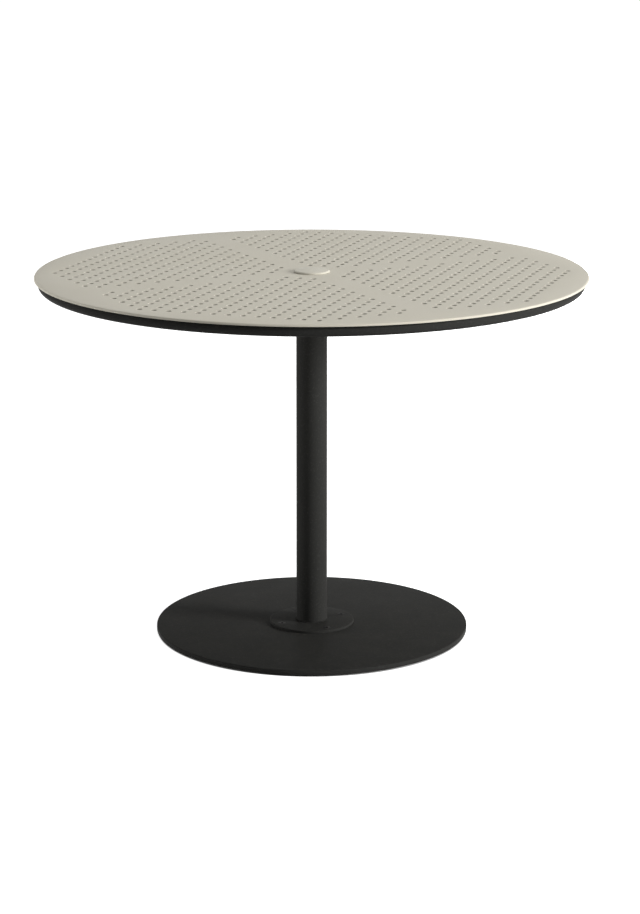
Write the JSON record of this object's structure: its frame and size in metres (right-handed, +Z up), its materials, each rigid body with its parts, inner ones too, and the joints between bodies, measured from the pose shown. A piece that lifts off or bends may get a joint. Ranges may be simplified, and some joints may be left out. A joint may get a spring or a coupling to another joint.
{
  "type": "umbrella table",
  "caption": "Round pedestal patio table with a perforated sheet top, tube ring apron, hollow column, flat base plate and a lift-out cap over the umbrella hole.",
  "frame": {"origin": "on the floor, on the axis of the column", "axes": "+Z up along the column; the support arms and the blank bands of the top lie along X and Y"},
  "size_m": [1.0668, 1.0668, 0.7152],
  "materials": {
    "pale_paint": "pale greige powder coat, fine satin texture",
    "pale_plastic": "pale greige moulded plastic",
    "dark_paint": "charcoal powder coat, fine texture",
    "dark_fastener": "blackened steel",
    "zinc_steel": "zinc-plated steel",
    "nylon": "black nylon"
  },
  "bodies": {
    "table": {"glide_1": "nylon", "glide_2": "nylon", "glide_3": "nylon", "glide_4": "nylon", "base_plate": "dark_paint", "foot_flange": "dark_paint", "foot_bolts": "dark_fastener", "column": "dark_paint", "pole_guide": "nylon", "arm_plate": "dark_paint", "arm_washers": "zinc_steel", "arm_bolts": "zinc_steel", "arm_nuts": "zinc_steel", "hub_sleeve": "dark_paint", "support_arm_1": "dark_paint", "support_arm_2": "dark_paint", "support_arm_3": "dark_paint", "support_arm_4": "dark_paint", "apron_ring": "dark_paint", "stud_washers": "zinc_steel", "stud_nuts": "zinc_steel", "top_studs": "zinc_steel", "table_top": "pale_paint"},
    "cap": {"hole_cap": "pale_plastic"}
  },
  "joints": [
    {"name": "cap_lift", "type": "slide", "parent": "table", "child": "cap", "axis": [0, 0, 1], "range_m": [0, 0.3]}
  ]
}
